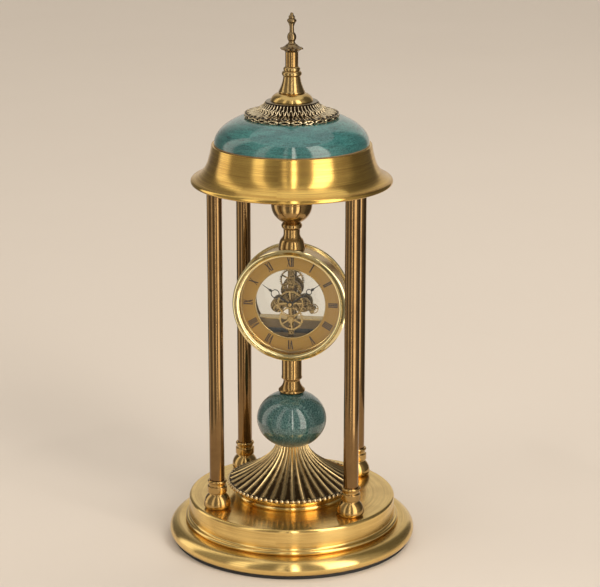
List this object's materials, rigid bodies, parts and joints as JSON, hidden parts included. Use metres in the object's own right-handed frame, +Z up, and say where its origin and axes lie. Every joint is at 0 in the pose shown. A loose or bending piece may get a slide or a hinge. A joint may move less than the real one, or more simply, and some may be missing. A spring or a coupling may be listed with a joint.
{
  "type": "desk clock",
  "caption": "Round-based brass column clock with a domed glazed canopy, a finial and a drum hung on its centre line that shows an open gear train.",
  "frame": {"origin": "on the floor plane, under the centre of the round base", "axes": "+Z up through the finial, -Y towards the person reading the dial, +X to that person's right"},
  "size_m": [0.2152, 0.2152, 0.4613],
  "materials": {
    "polished_brass": "mirror-polished yellow brass",
    "satin_brass": "satin brushed yellow brass",
    "chapter_brass": "satin bronze-toned brass with printed dark brown numerals",
    "drum_bronze": "satin bronze-toned brass",
    "crackle_glaze": "glossy blue-green glaze with a fine crackle",
    "plate_steel": "plain zinc-plated steel, hidden",
    "rod_steel": "threaded steel",
    "black_hands": "satin black",
    "lens_glass": "clear mineral glass",
    "movement_brass": "brushed and crossed-out clock brass",
    "movement_dark": "dark blued steel",
    "black_plastic": "black moulded plastic",
    "pad_rubber": "black non-slip rubber",
    "cork": "thin brown gasket board",
    "battery_sleeve": "plain dark sleeve with bare metal ends"
  },
  "bodies": {
    "frame": {"base_foot": "polished_brass", "base_shell": "polished_brass", "base_plate": "plate_steel", "base_pad": "pad_rubber", "tie_rods": "rod_steel", "rod_nuts": "rod_steel", "centre_rods": "rod_steel", "pedestal_foot": "polished_brass", "fluted_cone": "satin_brass", "bead_rim": "polished_brass", "ceramic_ball": "crackle_glaze", "lower_spindle": "satin_brass", "upper_spindle": "satin_brass", "hanging_cup": "satin_brass", "drum_shell": "drum_bronze", "rear_bezel": "polished_brass", "rear_lens": "lens_glass", "ceiling_plate": "plate_steel", "canopy_shell": "satin_brass", "dome_gasket": "cork", "ceramic_dome": "crackle_glaze", "crown_flange": "satin_brass", "crown_cap": "polished_brass", "finial_bell": "satin_brass", "finial_shaft": "satin_brass", "finial_petals": "satin_brass", "finial_spire": "satin_brass", "column_foot_front_left": "satin_brass", "column_foot_front_right": "satin_brass", "column_foot_rear_left": "satin_brass", "column_foot_rear_right": "satin_brass", "column_tube_front_left": "satin_brass", "column_tube_front_right": "satin_brass", "column_tube_rear_left": "satin_brass", "column_tube_rear_right": "satin_brass"},
    "insert": {"front_bezel": "polished_brass", "grip_band": "pad_rubber", "front_lens": "lens_glass", "dial_spacer": "chapter_brass", "chapter_ring": "chapter_brass", "mounting_ring": "black_plastic", "front_plate": "movement_dark", "retaining_ring": "rod_steel", "back_plate": "movement_dark", "plate_pillars": "movement_brass", "plate_screws": "rod_steel", "quartz_module": "black_plastic", "battery": "battery_sleeve", "deck_plate": "movement_brass"},
    "minute": {"centre_wheel": "movement_brass", "minute_hand": "black_hands", "hand_nut": "movement_brass"},
    "hour": {"hour_wheel": "movement_brass", "hour_hand": "black_hands"},
    "motion_wheel": {"minute_wheel": "movement_brass"},
    "upper": {"upper_wheel": "movement_dark"},
    "third": {"third_wheel": "movement_brass"},
    "balance": {"balance_ring": "movement_brass"},
    "setting": {"setting_wheel": "movement_brass", "setting_knob": "black_plastic"}
  },
  "joints": [
    {"name": "insert_slide", "type": "slide", "parent": "frame", "child": "insert", "axis": [0, -1, 0], "range_m": [0, 0.05]},
    {"name": "minute_turn", "type": "hinge", "parent": "insert", "child": "minute", "pos_m": [0, 0, 0.21303], "axis": [0, 1, 0], "continuous": true},
    {"name": "hour_turn", "type": "hinge", "parent": "insert", "child": "hour", "pos_m": [0, 0, 0.21303], "axis": [0, 1, 0], "continuous": true},
    {"name": "motion_wheel_turn", "type": "hinge", "parent": "insert", "child": "motion_wheel", "pos_m": [0, 0, 0.19903], "axis": [0, 1, 0], "continuous": true},
    {"name": "upper_turn", "type": "hinge", "parent": "insert", "child": "upper", "pos_m": [0, 0, 0.23153], "axis": [0, 1, 0], "continuous": true},
    {"name": "third_turn", "type": "hinge", "parent": "insert", "child": "third", "pos_m": [0.01034, 0, 0.2112], "axis": [0, 1, 0], "continuous": true},
    {"name": "balance_turn", "type": "hinge", "parent": "insert", "child": "balance", "pos_m": [0.01785, 0, 0.20538], "axis": [0, 1, 0], "continuous": true},
    {"name": "setting_turn", "type": "hinge", "parent": "insert", "child": "setting", "pos_m": [-0.01203, 0, 0.20962], "axis": [0, 1, 0], "continuous": true}
  ],
  "couplings": [
    {"joint": "hour_turn", "follows": "minute_turn", "ratio": 0.083333},
    {"joint": "motion_wheel_turn", "follows": "minute_turn", "ratio": -0.33333},
    {"joint": "upper_turn", "follows": "minute_turn", "ratio": -0.7619},
    {"joint": "third_turn", "follows": "minute_turn", "ratio": -3.2},
    {"joint": "balance_turn", "follows": "minute_turn", "ratio": 12},
    {"joint": "setting_turn", "follows": "minute_turn", "ratio": -1.7778}
  ]
}
